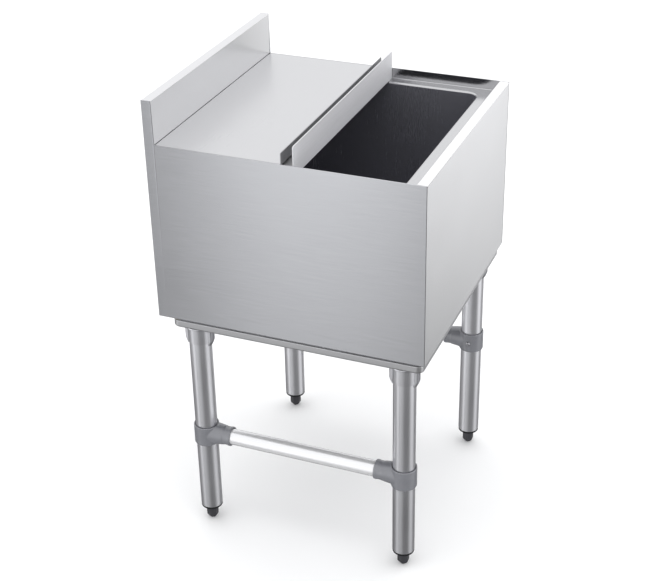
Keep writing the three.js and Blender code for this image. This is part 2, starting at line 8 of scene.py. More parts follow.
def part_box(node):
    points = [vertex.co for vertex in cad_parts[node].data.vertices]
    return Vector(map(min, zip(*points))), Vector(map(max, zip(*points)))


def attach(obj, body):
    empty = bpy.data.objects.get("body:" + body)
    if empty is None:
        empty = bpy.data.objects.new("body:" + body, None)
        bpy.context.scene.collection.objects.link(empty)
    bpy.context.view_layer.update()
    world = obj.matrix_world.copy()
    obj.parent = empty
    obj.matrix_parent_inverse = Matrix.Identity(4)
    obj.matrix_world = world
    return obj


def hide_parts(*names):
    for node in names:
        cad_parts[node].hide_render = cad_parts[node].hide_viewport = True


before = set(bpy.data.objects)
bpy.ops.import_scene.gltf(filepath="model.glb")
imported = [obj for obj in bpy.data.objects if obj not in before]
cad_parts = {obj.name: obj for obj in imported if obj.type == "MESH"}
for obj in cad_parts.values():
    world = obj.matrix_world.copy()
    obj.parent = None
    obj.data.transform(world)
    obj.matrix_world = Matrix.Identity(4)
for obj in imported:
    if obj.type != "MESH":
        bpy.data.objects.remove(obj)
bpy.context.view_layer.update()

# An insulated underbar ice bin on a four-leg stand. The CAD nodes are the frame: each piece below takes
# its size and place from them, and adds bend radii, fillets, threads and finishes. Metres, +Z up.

# ---------------------------------------------------------------- sizes

MM = 0.001
GAP = 0.3 * MM
SHEET = 1.5 * MM                 # body sheet
LID_SHEET = 1.2 * MM
BEND = 2.2 * MM                  # outer radius of the body's folds
CUT_EDGE = 0.25 * MM             # rounding of cut sheet edges
SEAM_EDGE = 0.9 * MM             # rounding beside the seam at the front corners
SPLASH_END_EDGE = 0.9 * SHEET    # the side panel's edges at the backsplash and at the front
SIDE_FRONT_EDGE = 0.95 * SHEET
SPLASH_SEAM_FILL = 0.4 * MM      # the backsplash closes up most of the seam at its ends
TOUCH = 0.01 * MM                # how near a vertex has to be to count as on a plane
FACING = 0.5                     # least part of a normal along a direction that counts as facing it
FLAT_ON = 0.9                    # the same for a face that is flat on to it
SLANTING = 0.15                  # the same for an edge that only slants towards it

PANEL_FLANGE = 12 * MM
FRONT_RIM = 17 * MM
LID_CORNER = 5 * MM              # upper corners of the sliding lid's flange
DECK_CORNER = 8 * MM             # upper corners of the rear lid's flange
LID_INSET = 4.2 * MM             # sliding plate in from the ends of its flange
LID_PLATE_DROP = 34.8 * MM       # sliding plate's top, below its flange's top
UPTURN_FRONT = 0.9 * LID_SHEET   # how deep the painted shade on the front of the rear lid's flange reaches

TUB_HALF_WIDTH = 202 * MM
TUB_FRONT = -185.5 * MM
TUB_BACK = 190 * MM
TUB_CORNER = 22 * MM
TUB_BOTTOM_RADIUS = 18 * MM
TUB_LIP = 3.5 * MM
LIP_STEPS = 6
BOTTOM_STEPS = 8
LEDGE_FILLET = 1.5 * MM          # where the ledge turns up against the panels
LEDGE_CORNER = 0.5 * MM          # upright corners of the ledge
BRIGHT_LIP = 0.7 * TUB_LIP       # the ledge's lighter steel runs this far down into the tub; below it, darker steel paints shade on the tub's inside
DRAIN_HOLE = 15.8 * MM

TRAY_BAND = 13.5 * MM
TRAY_CORNER = 12 * MM
TRAY_EDGE = 4 * MM
TRAY_SHOULDER = 1.2 * MM
NECK_INSET = 6 * MM
TAILPIECE_HOLE = 20 * MM

LEG_RADIUS = 19.05 * MM
LEG_WALL = 1.5 * MM
RAIL_RADIUS = 14 * MM
RAIL_WALL = 1.5 * MM
TUBE_EDGE = 0.4 * MM             # rounding of the cut ends of legs and sleeves
RAIL_EDGE = 0.3 * MM

SOCKET_RADIUS = 20.55 * MM
SOCKET_PLATE = 3 * MM
SOCKET_FILLET = 1 * MM           # between sleeve and plate
PLATE_PINHOLE = 0.02             # part of the bore that the plate leaves open at the leg's axis
EAR_BELOW_SLEEVE = 6 * MM
EAR_HALF_WIDTH = 7.5 * MM
EAR_OUTLINE = ((0, 0.15), (4 * MM, 0.55), (10 * MM, 1))   # (above the tip, part of the full depth)
EAR_CROWN = 0.6                  # part of the full depth that an ear's rounded back takes up
EAR_STEPS = 8

TEE_RADIUS = 22 * MM
TEE_MOUTH = 17 * MM              # outer radius of the rail socket
TEE_LIP = 0.7 * MM               # rim around the rail socket's mouth
TEE_LIP_LENGTH = 5 * MM
TEE_SOCKET_FROM = 10 * MM        # the rail socket starts inside the collar
TEE_FAIRING = (                  # (radius, distance from the leg's axis)
    (TEE_RADIUS - 1 * MM, 0),
    (TEE_MOUTH + 1.5 * MM, 24 * MM),
    (TEE_MOUTH, 36 * MM),
)
TEE_BORE_END = 24 * MM
TEE_RECESS = 1.5 * MM            # the tee's mouths are this much wider than their tubes
TEE_RECESS_DEPTH = 3 * MM
TEE_VOXEL = 0.6 * MM
TEE_SMOOTHING = 14               # passes
TEE_TRIM = 0.2 * MM              # cut off each end of the collar after smoothing
BEYOND = 80 * MM                 # cutters run out this far

FOOT_HOLE = 5.3 * MM
FOOT_HOLE_END = 9 * MM           # above the floor
FOOT_TIP = 6 * MM                # radius of the flat tip
FOOT_TAPER = 6 * MM              # height of the taper
FOOT_EDGE = 0.7 * MM
FOOT_ROUNDNESS = 0.965           # radius of its cut-back corners, as a part of the full one
INSERT_INSET = 0.2 * MM          # the plug's rim inside the tube's outside
INSERT_EDGE = 1.6 * MM
INSERT_RIBS = 5
RIB_DEPTH = 0.8 * MM
RIB_FOOT, RIB_CREST, RIB_END = 0.2 * MM, 1.6 * MM, 3.2 * MM
INSERT_TIP_INSET = 1.2 * MM
STUD_RADIUS = 5 * MM
THREAD_PITCH = 1.5 * MM
THREAD_DEPTH = 0.8 * MM
THREAD_ROWS = 6                  # loops of points in one turn of the thread
THREAD_ROUND = 36

SCREW_HEAD = 2.5 * MM            # height of the button head
SCREW_CHAMFER = 0.3 * MM         # at the shank's end and at the key's hole
SCREW_HEAD_RIM = 0.5 * MM        # straight part of the head, below its dome
SCREW_DOME_STEPS = 5
SCREW_DOME_SPAN = math.radians(60)   # the dome narrows to the cosine of this
KEY_RADIUS = 1.25 * MM
KEY_CHAMFER = 0.2 * MM
KEY_DEPTH = 1.5 * MM
KEY_POINT = 0.2 * MM             # the key's hole ends in a shallow cone
PIN_RADIUS = 0.1 * MM            # the profiles of screws start and stop just off their axis

PLACES = ("front_left", "rear_left", "front_right", "rear_right")
ROOT = "stand_and_bin"
ROUND = 96                       # points around a tube
SMALL_ROUND = 48                 # points around a screw or a foot
CORNER_STEPS = 12                # steps around a rounded corner

# ---------------------------------------------------------------- mesh helpers

AXES = {"x": 0, "y": 1, "z": 2}


def joined_boxes(boxes):
    """One closed mesh around a union of boxes, each given as ((x0, x1), (y0, y1), (z0, z1))."""
    bm = bmesh.new()
    cuts = [sorted({round(v, 7) for box in boxes for v in box[axis]}) for axis in range(3)]

    def filled(cell):
        if any(n < 0 or n >= len(cuts[axis]) - 1 for axis, n in enumerate(cell)):
            return False
        middle = [(cuts[axis][n] + cuts[axis][n + 1]) / 2 for axis, n in enumerate(cell)]
        return any(all(box[a][0] < middle[a] < box[a][1] for a in range(3)) for box in boxes)

    corners = {}

    def corner(index):
        if index not in corners:
            corners[index] = bm.verts.new([cuts[axis][n] for axis, n in enumerate(index)])
        return corners[index]

    counts = [len(values) - 1 for values in cuts]
    cells = [(i, j, k) for i in range(counts[0]) for j in range(counts[1]) for k in range(counts[2])]
    for cell in filter(filled, cells):
        for axis in range(3):
            for side in (0, 1):
                beyond = list(cell)
                beyond[axis] += 2 * side - 1
                if filled(beyond):
                    continue
                ring = []
                for across, up in ((0, 0), (1, 0), (1, 1), (0, 1)):
                    index = list(cell)
                    index[axis] += side
                    index[(axis + 1) % 3] += across
                    index[(axis + 2) % 3] += up
                    ring.append(corner(tuple(index)))
                bm.faces.new(ring if side else ring[::-1])
    bmesh.ops.dissolve_limit(bm, angle_limit=math.radians(1), verts=bm.verts, edges=bm.edges)
    return bm


def edges_at(bm, **planes):
    """The edges that lie on all of the given planes, such as y=... and z=..."""
    return [
        edge for edge in bm.edges
        if all(abs(v.co[AXES[k]] - at) < TOUCH for v in edge.verts for k, at in planes.items())
    ]


def round_edges(bm, edges, radius, segments=5):
    bmesh.ops.bevel(
        bm, geom=edges, offset=radius, offset_type="OFFSET", segments=segments,
        profile=0.5, affect="EDGES", clamp_overlap=True,
    )


def soften(bm, radius=CUT_EDGE, segments=2, above=math.radians(40)):
    """Rounds every edge that is still sharp."""
    sharp = [e for e in bm.edges if e.is_manifold and e.calc_face_angle(0) > above]
    round_edges(bm, sharp, radius, segments)


def skin(bm, loops, closed):
    """Quads between loops of points. A closed skin joins its last loop to its first; else it is capped."""
    rings = [[bm.verts.new(point) for point in loop] for loop in loops]
    pairs = list(zip(rings, rings[1:]))
    if closed:
        pairs.append((rings[-1], rings[0]))
    else:
        bm.faces.new(rings[0][::-1])
        bm.faces.new(rings[-1])
    for one, two in pairs:
        for n in range(len(one)):
            m = (n + 1) % len(one)
            bm.faces.new((one[n], one[m], two[m], two[n]))


def rounded_loop(half_width, y0, y1, radius, z):
    """A rectangle with rounded corners, seen from above."""
    centres = (
        (half_width - radius, y1 - radius, 0),
        (-half_width + radius, y1 - radius, 1),
        (-half_width + radius, y0 + radius, 2),
        (half_width - radius, y0 + radius, 3),
    )
    points = []
    for x, y, quarter in centres:
        for step in range(CORNER_STEPS + 1):
            angle = (quarter + step / CORNER_STEPS) * math.pi / 2
            points.append((x + radius * math.cos(angle), y + radius * math.sin(angle), z))
    return points


def circle_point(centre, radius, angle, z):
    return (centre.x + radius * math.cos(angle), centre.y + radius * math.sin(angle), z)


def matched_circle(loop, centre, radius, z):
    """A circle whose points face the points of another loop."""
    angles = [math.atan2(y - centre[1], x - centre[0]) for x, y, _ in loop]
    return [(centre[0] + radius * math.cos(a), centre[1] + radius * math.sin(a), z) for a in angles]


def lathe(bm, profile, centre, axis="z", closed=True, count=ROUND):
    """Turns a profile of (radius, place along the axis) points around an axis through the centre."""
    loops = []
    for radius, height in profile:
        loop = []
        for n in range(count):
            angle = 2 * math.pi * n / count
            a, b = radius * math.cos(angle), radius * math.sin(angle)
            if axis == "z":
                loop.append((centre[0] + a, centre[1] + b, height))
            elif axis == "y":
                loop.append((centre[0] + b, height, centre[2] + a))
            else:
                loop.append((height, centre[1] + a, centre[2] + b))
        loops.append(loop)
    skin(bm, loops, closed)


def arc(centre, radius, start, end, steps=6):
    """Points on an arc in a profile, with angles in degrees."""
    points = []
    for step in range(steps + 1):
        angle = math.radians(start + (end - start) * step / steps)
        points.append((centre[0] + radius * math.cos(angle), centre[1] + radius * math.sin(angle)))
    return points


def tube_profile(radius, wall, low, high, edge):
    """The closed outline of a tube's wall, with its four edges rounded."""
    inner = radius - wall
    return (
        arc((inner + edge, low + edge), edge, 180, 270, 3)
        + arc((radius - edge, low + edge), edge, 270, 360, 3)
        + arc((radius - edge, high - edge), edge, 0, 90, 3)
        + arc((inner + edge, high - edge), edge, 90, 180, 3)
    )


def choose_materials(bm, choice):
    """Gives each face the material that the choice picks, by number, from the face's centre and normal."""
    bmesh.ops.recalc_face_normals(bm, faces=bm.faces)
    for face in bm.faces:
        face.material_index = int(choice(face.calc_center_median(), face.normal))


def faces_up(_, normal):
    return normal.z > FACING


def object_of(name, bm):
    bmesh.ops.recalc_face_normals(bm, faces=bm.faces)
    mesh = bpy.data.meshes.new(name)
    bm.to_mesh(mesh)
    bm.free()
    obj = bpy.data.objects.new(name, mesh)
    bpy.context.scene.collection.objects.link(obj)
    return obj


def finish_piece(obj, materials, slot, body, *stands_for, sharp=50):
    """Shades a piece, gives it its materials, ties it to its body and hides the CAD nodes it stands for.

    Edges that turn by more than the given number of degrees stay sharp.
    """
    mesh = obj.data
    for material in materials if isinstance(materials, tuple) else (materials,):
        mesh.materials.append(material)
    mesh.polygons.foreach_set("use_smooth", [True] * len(mesh.polygons))
    mesh.set_sharp_from_angle(angle=math.radians(sharp))
    weighted = obj.modifiers.new("flat_faces_stay_flat", "WEIGHTED_NORMAL")
    weighted.keep_sharp = True
    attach(obj, body)
    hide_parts(*stands_for)


# ---------------------------------------------------------------- material helpers

NOISE_OFFSET = (3.71, 1.93, 8.37)    # keeps the noise's own origin off the part
SCRATCH_LENGTH = 0.03                # stretch of the noise along the grain
COARSE_SCRATCHES, FINE_SCRATCHES = 520, 2600
STEEL_CLOUDS = 7
STEEL_SPREAD = 0.12                  # how far the roughness wanders, as a part of it
SCRATCH_DEPTH = 0.06 * MM
SCRATCH_STRENGTH = 0.12
QUARTER_TURN = 0.25
PLASTIC_CLOUDS = 45
PLASTIC_SPREAD = 0.1
PLASTIC_DEPTH = 0.05 * MM
PLASTIC_STRENGTH = 0.25
FOAM_CELLS = 900
FOAM_DEPTH = 0.3 * MM
FOAM_STRENGTH = 0.5


def node_material(name, color, metallic, roughness):
    material = bpy.data.materials.new(name)
    material.use_nodes = True
    nodes = material.node_tree.nodes
    shader = nodes["Principled BSDF"]
    shader.inputs["Base Color"].default_value = (*color, 1)
    shader.inputs["Metallic"].default_value = metallic
    shader.inputs["Roughness"].default_value = roughness
    return material, nodes, material.node_tree.links, shader


def noise(nodes, links, scale, stretch=(1, 1, 1), detail=4, rough=0.55):
    """Noise in the object's own space, stretched along an axis by a small number there."""
    place = nodes.new("ShaderNodeTexCoord")
    mapping = nodes.new("ShaderNodeMapping")
    mapping.inputs["Scale"].default_value = stretch
    mapping.inputs["Location"].default_value = NOISE_OFFSET
    texture = nodes.new("ShaderNodeTexNoise")
    texture.inputs["Scale"].default_value = scale
    texture.inputs["Detail"].default_value = detail
    texture.inputs["Roughness"].default_value = rough
    links.new(place.outputs["Object"], mapping.inputs["Vector"])
    links.new(mapping.outputs["Vector"], texture.inputs["Vector"])
    return texture.outputs["Fac"]


def spread(nodes, links, value, low, high, from_low=0.3, from_high=0.7):
    """Maps a texture's value to a range."""
    remap = nodes.new("ShaderNodeMapRange")
    remap.inputs["From Min"].default_value = from_low
    remap.inputs["From Max"].default_value = from_high
    remap.inputs["To Min"].default_value = low
    remap.inputs["To Max"].default_value = high
    links.new(value, remap.inputs["Value"])
    return remap.outputs["Result"]


def blend_colors(nodes, links, factor, one, two):
    mix = nodes.new("ShaderNodeMix")
    mix.data_type = "RGBA"
    mix.inputs["A"].default_value = (*one, 1)
    mix.inputs["B"].default_value = (*two, 1)
    links.new(factor, mix.inputs["Factor"])
    return mix.outputs["Result"]


def add_bump(nodes, links, shader, height, strength, distance):
    bump = nodes.new("ShaderNodeBump")
    bump.inputs["Strength"].default_value = strength
    bump.inputs["Distance"].default_value = distance
    links.new(height, bump.inputs["Height"])
    links.new(bump.outputs["Normal"], shader.inputs["Normal"])


def average(nodes, links, one, two):
    add = nodes.new("ShaderNodeMath")
    add.operation = "ADD"
    half = nodes.new("ShaderNodeMath")
    half.operation = "MULTIPLY"
    half.inputs[1].default_value = 0.5
    links.new(one, add.inputs[0])
    links.new(two, add.inputs[1])
    links.new(add.outputs["Value"], half.inputs[0])
    return half.outputs["Value"]


def brushed_steel(
    name, tone, roughness, grain, tangent="Z", anisotropy=0.7, contrast=0.05, metallic=1.0,
):
    """Stainless steel with fine scratches along one axis, and cloudy patches from rolling and handling.

    Highlights stretch across the grain: the tangent runs around the given axis, turned a quarter.
    """
    dark = [channel * (1 - contrast) for channel in tone]
    light = [min(1, channel * (1 + contrast)) for channel in tone]
    material, nodes, links, shader = node_material(name, tone, metallic, roughness)
    along = [SCRATCH_LENGTH if axis == grain else 1 for axis in "XYZ"]
    coarse = noise(nodes, links, COARSE_SCRATCHES, along, detail=3)
    fine = noise(nodes, links, FINE_SCRATCHES, along, detail=2)
    cloudy = noise(nodes, links, STEEL_CLOUDS, detail=2)
    scratches = average(nodes, links, coarse, fine)
    color = blend_colors(nodes, links, spread(nodes, links, scratches, 0, 1), dark, light)
    links.new(color, shader.inputs["Base Color"])
    least, most = roughness * (1 - STEEL_SPREAD), roughness * (1 + STEEL_SPREAD)
    rough = spread(nodes, links, average(nodes, links, scratches, cloudy), least, most)
    links.new(rough, shader.inputs["Roughness"])
    add_bump(nodes, links, shader, scratches, SCRATCH_STRENGTH, SCRATCH_DEPTH)
    if not anisotropy:
        return material
    shader.inputs["Anisotropic"].default_value = anisotropy
    shader.inputs["Anisotropic Rotation"].default_value = QUARTER_TURN
    direction = nodes.new("ShaderNodeTangent")
    direction.direction_type = "RADIAL"
    direction.axis = tangent
    links.new(direction.outputs["Tangent"], shader.inputs["Tangent"])
    return material


def moulded_plastic(name, dark, light, roughness, grain_size=0.6, gloss=0.5):
    """Injection-moulded plastic: a fine leathery texture and a slow drift in colour."""
    material, nodes, links, shader = node_material(name, light, 0, roughness)
    cloudy = noise(nodes, links, PLASTIC_CLOUDS, detail=3)
    texture = noise(nodes, links, 1 / (grain_size * MM), detail=3)
    mixed = spread(nodes, links, average(nodes, links, cloudy, texture), 0, 1)
    links.new(blend_colors(nodes, links, mixed, dark, light), shader.inputs["Base Color"])
    least, most = roughness * (1 - PLASTIC_SPREAD), roughness * (1 + PLASTIC_SPREAD)
    links.new(spread(nodes, links, texture, least, most), shader.inputs["Roughness"])
    add_bump(nodes, links, shader, texture, PLASTIC_STRENGTH, PLASTIC_DEPTH)
    shader.inputs["Specular IOR Level"].default_value = gloss
    return material


def foam_material(name, dark, light):
    """Rigid foam, with its cells as a Voronoi pattern."""
    material, nodes, links, shader = node_material(name, light, 0, 0.95)
    cells = nodes.new("ShaderNodeTexVoronoi")
    cells.inputs["Scale"].default_value = FOAM_CELLS
    place = nodes.new("ShaderNodeTexCoord")
    links.new(place.outputs["Object"], cells.inputs["Vector"])
    factor = spread(nodes, links, cells.outputs["Distance"], 0, 1, 0, 0.8)
    links.new(blend_colors(nodes, links, factor, dark, light), shader.inputs["Base Color"])
    add_bump(nodes, links, shader, cells.outputs["Distance"], FOAM_STRENGTH, FOAM_DEPTH)
    return material


# ---------------------------------------------------------------- materials

# Each steel: name, tone, roughness and the axis of its grain. The large panels stretch their highlights
# most, and metallic values below 1 add a little diffuse light.

SIDE_STEEL = brushed_steel(
    "side_panel_steel", (0.625, 0.63, 0.653), 0.23, "Y", anisotropy=0.85, contrast=0.04,
)
FRONT_STEEL = brushed_steel(
    "front_panel_steel", (0.74, 0.74, 0.75), 0.25, "X", anisotropy=0.85, contrast=0.03,
)
SPLASH_STEEL = brushed_steel(
    "backsplash_steel", (0.79, 0.79, 0.80), 0.23, "X", anisotropy=0.85, contrast=0.03,
)
SPLASH_TOP_STEEL = brushed_steel(
    "splash_top_steel", (0.70, 0.70, 0.71), 0.3, "X", anisotropy=0, contrast=0.02,
)
# Brighter steel for the front panel's flat rim: painted highlight on its top faces.
RIM_PAINTED_LIGHT_STEEL = brushed_steel("rim_painted_highlight_steel", (0.86, 0.86, 0.86), 0.3, "X", anisotropy=0, contrast=0.02)
LID_STEEL = brushed_steel(
    "lid_steel", (0.575, 0.575, 0.585), 0.30, "X", anisotropy=0, contrast=0.015, metallic=0.9,
)
FLANGE_STEEL = brushed_steel(
    "lid_flange_steel", (0.74, 0.74, 0.76), 0.6, "X", anisotropy=0, metallic=0.35,
)
# Dark steel for the front and top edge of the rear lid's flange: painted shade cast by the front lid's
# flange.
PAINTED_SHADE_STEEL = brushed_steel(
    "rear_flange_painted_shade_steel", (0.30, 0.30, 0.31), 0.5, "X", anisotropy=0, metallic=0.7,
)
# Dark steel for the tub's walls and floor: painted shade inside the tub.
TUB_PAINTED_SHADE_STEEL = brushed_steel(
    "tub_steel", (0.29, 0.29, 0.325), 0.26, "Z", anisotropy=0, contrast=0.03, metallic=0.66,
)
INNER_STEEL = brushed_steel("smooth_steel", (0.53, 0.53, 0.54), 0.19, "X", anisotropy=0, contrast=0.02)
TRAY_STEEL = brushed_steel("tray_steel", (0.56, 0.56, 0.57), 0.38, "X")
TUBE_STEEL = brushed_steel(
    "leg_tube_steel", (0.90, 0.90, 0.93), 0.33, "Z", anisotropy=0, contrast=0.015,
)
SOCKET_STEEL = brushed_steel("socket_steel", (0.84, 0.84, 0.87), 0.36, "Z", anisotropy=0, contrast=0.02)
# Darker steel for the socket ears: painted shade on the ears of the one cast socket.
EAR_PAINTED_SHADE_STEEL = brushed_steel("socket_ear_painted_shade_steel", (0.52, 0.52, 0.55), 0.45, "Z", anisotropy=0, contrast=0.04)
RAIL_STEEL = brushed_steel(
    "rail_steel", (0.84, 0.84, 0.85), 0.24, "Y", anisotropy=0, contrast=0.01, metallic=0.5,
)
DRAIN_STEEL = brushed_steel("drain_steel", (0.62, 0.62, 0.63), 0.26, "X", anisotropy=0)
SCREW_STEEL = brushed_steel("screw_steel", (0.46, 0.46, 0.48), 0.34, "X", anisotropy=0, contrast=0.1)
TEE_PLASTIC = moulded_plastic(
    "tee_plastic", (0.16, 0.163, 0.178), (0.20, 0.203, 0.222), 0.28, gloss=1,
)
FOOT_PLASTIC = moulded_plastic(
    "foot_plastic", (0.035, 0.035, 0.039), (0.055, 0.055, 0.062), 0.4,
)
INSERT_PLASTIC = moulded_plastic(
    "insert_plastic", (0.008, 0.008, 0.009), (0.012, 0.012, 0.013), 0.6, gloss=0.2,
)
# Near-black for the side panels' front edges: painted shadow in the seam at the front corners.
SEAM_PAINTED_SHADOW = moulded_plastic("seam_painted_shadow", (0.035, 0.035, 0.04), (0.05, 0.05, 0.055), 0.6)
RUBBER = moulded_plastic("gasket_rubber", (0.02, 0.02, 0.02), (0.03, 0.03, 0.03), 0.8, grain_size=0.9)
FOAM = foam_material("rigid_foam", (0.70, 0.62, 0.40), (0.86, 0.80, 0.60))

# ---------------------------------------------------------------- body panels

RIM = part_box("front_panel")[1].z
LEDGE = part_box("tub_liner")[1].z


def side_panel(side):
    """One sheet that also closes the end of the backsplash, folded inwards at the bottom."""
    node = f"side_panel_{side}"
    low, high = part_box(node)
    left = side == "left"
    outer = low.x if left else high.x
    sheet = (low.x, low.x + SHEET) if left else (high.x - SHEET, high.x)
    splash_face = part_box("backsplash")[0].y
    bm = joined_boxes([
        (sheet, (low.y, high.y), (low.z, RIM)),
        (sheet, (splash_face, high.y), (RIM, high.z)),
        ((low.x, high.x), (low.y + SHEET, high.y - SHEET), (low.z, low.z + SHEET)),
    ])
    round_edges(bm, edges_at(bm, x=outer, z=low.z), SHEET)
    round_edges(bm, edges_at(bm, x=outer, y=splash_face), SPLASH_END_EDGE)
    round_edges(bm, edges_at(bm, x=outer, y=low.y), SIDE_FRONT_EDGE)
    soften(bm)
    inward = 1 if left else -1

    def inner_steel_or_seam_shadow(centre, normal):
        if normal.x * inward > FLAT_ON:
            return 1
        # Faces on the front edge get the near-black painted seam shadow.
        if normal.y < -SLANTING and centre.y < low.y + SHEET:
            return 2
        return 0

    choose_materials(bm, inner_steel_or_seam_shadow)
    materials = (SIDE_STEEL, INNER_STEEL, SEAM_PAINTED_SHADOW)
    finish_piece(object_of(f"{node}_sheet", bm), materials, "panel_steel", ROOT, node)


def front_panel():
    """Face, flat rim and the return down to the ledge, folded from one sheet."""
    low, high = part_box("front_panel")
    across = (low.x, high.x)
    rim_back = low.y + FRONT_RIM
    fold_across = (low.x + PANEL_FLANGE, high.x - PANEL_FLANGE)
    bm = joined_boxes([
        (across, (low.y, low.y + SHEET), (low.z, high.z)),
        (across, (low.y, rim_back), (high.z - SHEET, high.z)),
        (across, (rim_back - SHEET, rim_back), (LEDGE + GAP, high.z)),
        (fold_across, (low.y, low.y + PANEL_FLANGE), (low.z, low.z + SHEET)),
    ])
    round_edges(bm, edges_at(bm, y=low.y, z=high.z), BEND)
    round_edges(bm, edges_at(bm, y=rim_back, z=high.z), BEND)
    for x in across:
        round_edges(bm, edges_at(bm, x=x, y=low.y), SEAM_EDGE, 4)
    soften(bm)
    # Faces that look up, the rim, get the brighter steel: painted highlight.
    choose_materials(bm, faces_up)
    materials = (FRONT_STEEL, RIM_PAINTED_LIGHT_STEEL)
    finish_piece(object_of("front_panel_sheet", bm), materials, "panel_steel", ROOT, "front_panel")


def back_panel():
    """A plain sheet under the backsplash, folded inwards at the bottom."""
    low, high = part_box("back_panel")
    fold_across = (low.x + PANEL_FLANGE, high.x - PANEL_FLANGE)
    bm = joined_boxes([
        ((low.x, high.x), (high.y - SHEET, high.y), (low.z, high.z)),
        (fold_across, (low.y, high.y), (low.z, low.z + SHEET)),
    ])
    soften(bm)
    finish_piece(object_of("back_panel_sheet", bm), FRONT_STEEL, "panel_steel", ROOT, "back_panel")


def backsplash():
    """A channel open below, whose front face runs down to the ledge."""
    low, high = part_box("backsplash")
    across = (low.x - SPLASH_SEAM_FILL, high.x + SPLASH_SEAM_FILL)
    bm = joined_boxes([
        (across, (low.y, low.y + SHEET), (low.z, high.z)),
        (across, (low.y, high.y), (high.z - SHEET, high.z)),
        (across, (high.y - SHEET, high.y), (RIM, high.z)),
    ])
    round_edges(bm, edges_at(bm, y=low.y, z=high.z), BEND)
    round_edges(bm, edges_at(bm, y=high.y, z=high.z), BEND)
    soften(bm)
    choose_materials(bm, faces_up)
    materials = (SPLASH_STEEL, SPLASH_TOP_STEEL)
    finish_piece(object_of("backsplash_sheet", bm), materials, "panel_steel", ROOT, "backsplash")


# ---------------------------------------------------------------- tub


def tub_loops(grow, floor, lip_radius, top):
    """Loops from the tub's mouth down its wall and round its bottom edge."""
    loops = []

    def loop(inset, z):
        offset = grow - inset
        corner = max(TUB_CORNER + offset, MM)
        loops.append(rounded_loop(
            TUB_HALF_WIDTH + offset, TUB_FRONT - offset, TUB_BACK + offset, corner, z,
        ))

    for step in range(LIP_STEPS + 1):
        angle = math.radians(90 * step / LIP_STEPS)
        loop(-lip_radius * (1 - math.sin(angle)), top - lip_radius * (1 - math.cos(angle)))
    bottom = TUB_BOTTOM_RADIUS + grow
    for step in range(BOTTOM_STEPS + 1):
        angle = math.radians(90 * step / BOTTOM_STEPS)
        loop(bottom * (1 - math.cos(angle)), floor + bottom * (1 - math.sin(angle)))
    return loops


def tub_liner():
    """Deep drawn tub with a rolled lip; its flange is the ledge that carries the lids."""
    low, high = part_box("tub_liner")
    centre = (0, (TUB_FRONT + TUB_BACK) / 2)
    floor = low.z + SHEET
    half = high.x
    bm = bmesh.new()
    inside = tub_loops(0, floor, TUB_LIP, LEDGE)
    outside = tub_loops(SHEET, low.z, TUB_LIP - SHEET, LEDGE - SHEET)
    upturn = [
        rounded_loop(half - inset, low.y + inset, high.y - inset, LEDGE_CORNER, z)
        for inset, z in arc((LEDGE_FILLET, LEDGE + LEDGE_FILLET), LEDGE_FILLET, 180, 270, 5)
    ]
    lower_edge = rounded_loop(half, low.y, high.y, LEDGE_CORNER, LEDGE - SHEET)
    hole = [
        matched_circle(inside[-1], centre, DRAIN_HOLE, floor),
        matched_circle(inside[-1], centre, DRAIN_HOLE, low.z),
    ]
    skin(bm, [*upturn, *inside, *hole, *outside[::-1], lower_edge], closed=True)
    # Lip and ledge get the lighter steel, the walls and floor below them the painted shade.
    choose_materials(bm, lambda centre, _: centre.z > LEDGE - BRIGHT_LIP)
    materials = (TUB_PAINTED_SHADE_STEEL, INNER_STEEL)
    finish_piece(object_of("tub_liner_drawn", bm), materials, "tub_steel", ROOT, "tub_liner", sharp=60)


# ---------------------------------------------------------------- lids


def rear_lid():
    """A lift-off deck with skirts that stand on the ledge and an upturned front flange."""
    low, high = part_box("rear_lid")
    across = (low.x, high.x)
    deck_y = (low.y, high.y)
    skirt_z = (low.z, RIM - LID_SHEET / 2)
    bm = joined_boxes([
        (across, deck_y, (RIM - LID_SHEET, RIM)),
        (across, (low.y, low.y + LID_SHEET), (RIM - LID_SHEET, high.z)),
        ((low.x, low.x + LID_SHEET), deck_y, skirt_z),
        ((high.x - LID_SHEET, high.x), deck_y, skirt_z),
        (across, (high.y - LID_SHEET, high.y), skirt_z),
    ])
    for x in across:
        round_edges(bm, edges_at(bm, x=x, z=high.z), DECK_CORNER, 4)
    round_edges(bm, edges_at(bm, y=high.y, z=RIM), LID_SHEET)
    soften(bm)
    # The front and top edge of the flange get the dark steel: painted shade.
    choose_materials(bm, lambda centre, normal: centre.y < low.y + UPTURN_FRONT and normal.y < FACING)
    materials = (LID_STEEL, PAINTED_SHADE_STEEL)
    finish_piece(object_of("rear_lid_deck", bm), materials, "lid_steel", "rear_lid", "rear_lid")


def front_lid():
    """A sliding plate with a tall flange across its front as the handle."""
    low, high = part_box("front_lid")
    plate_top = high.z - LID_PLATE_DROP
    plate = (low.x + LID_INSET, high.x - LID_INSET)
    plate_y = (low.y + SHEET / 2, high.y)
    skirt_z = (low.z, plate_top - LID_SHEET / 2)
    bm = joined_boxes([
        ((low.x, high.x), (low.y, low.y + SHEET), (low.z, high.z)),
        (plate, plate_y, (plate_top - LID_SHEET, plate_top)),
        ((plate[0], plate[0] + LID_SHEET), plate_y, skirt_z),
        ((plate[1] - LID_SHEET, plate[1]), plate_y, skirt_z),
    ])
    for x in (low.x, high.x):
        round_edges(bm, edges_at(bm, x=x, z=high.z), LID_CORNER, 8)
    soften(bm)
    choose_materials(bm, lambda centre, _: centre.y < low.y + SHEET / 2)
    materials = (LID_STEEL, FLANGE_STEEL)
    finish_piece(object_of("front_lid_tray", bm), materials, "lid_steel", "front_lid", "front_lid")


# ---------------------------------------------------------------- base tray


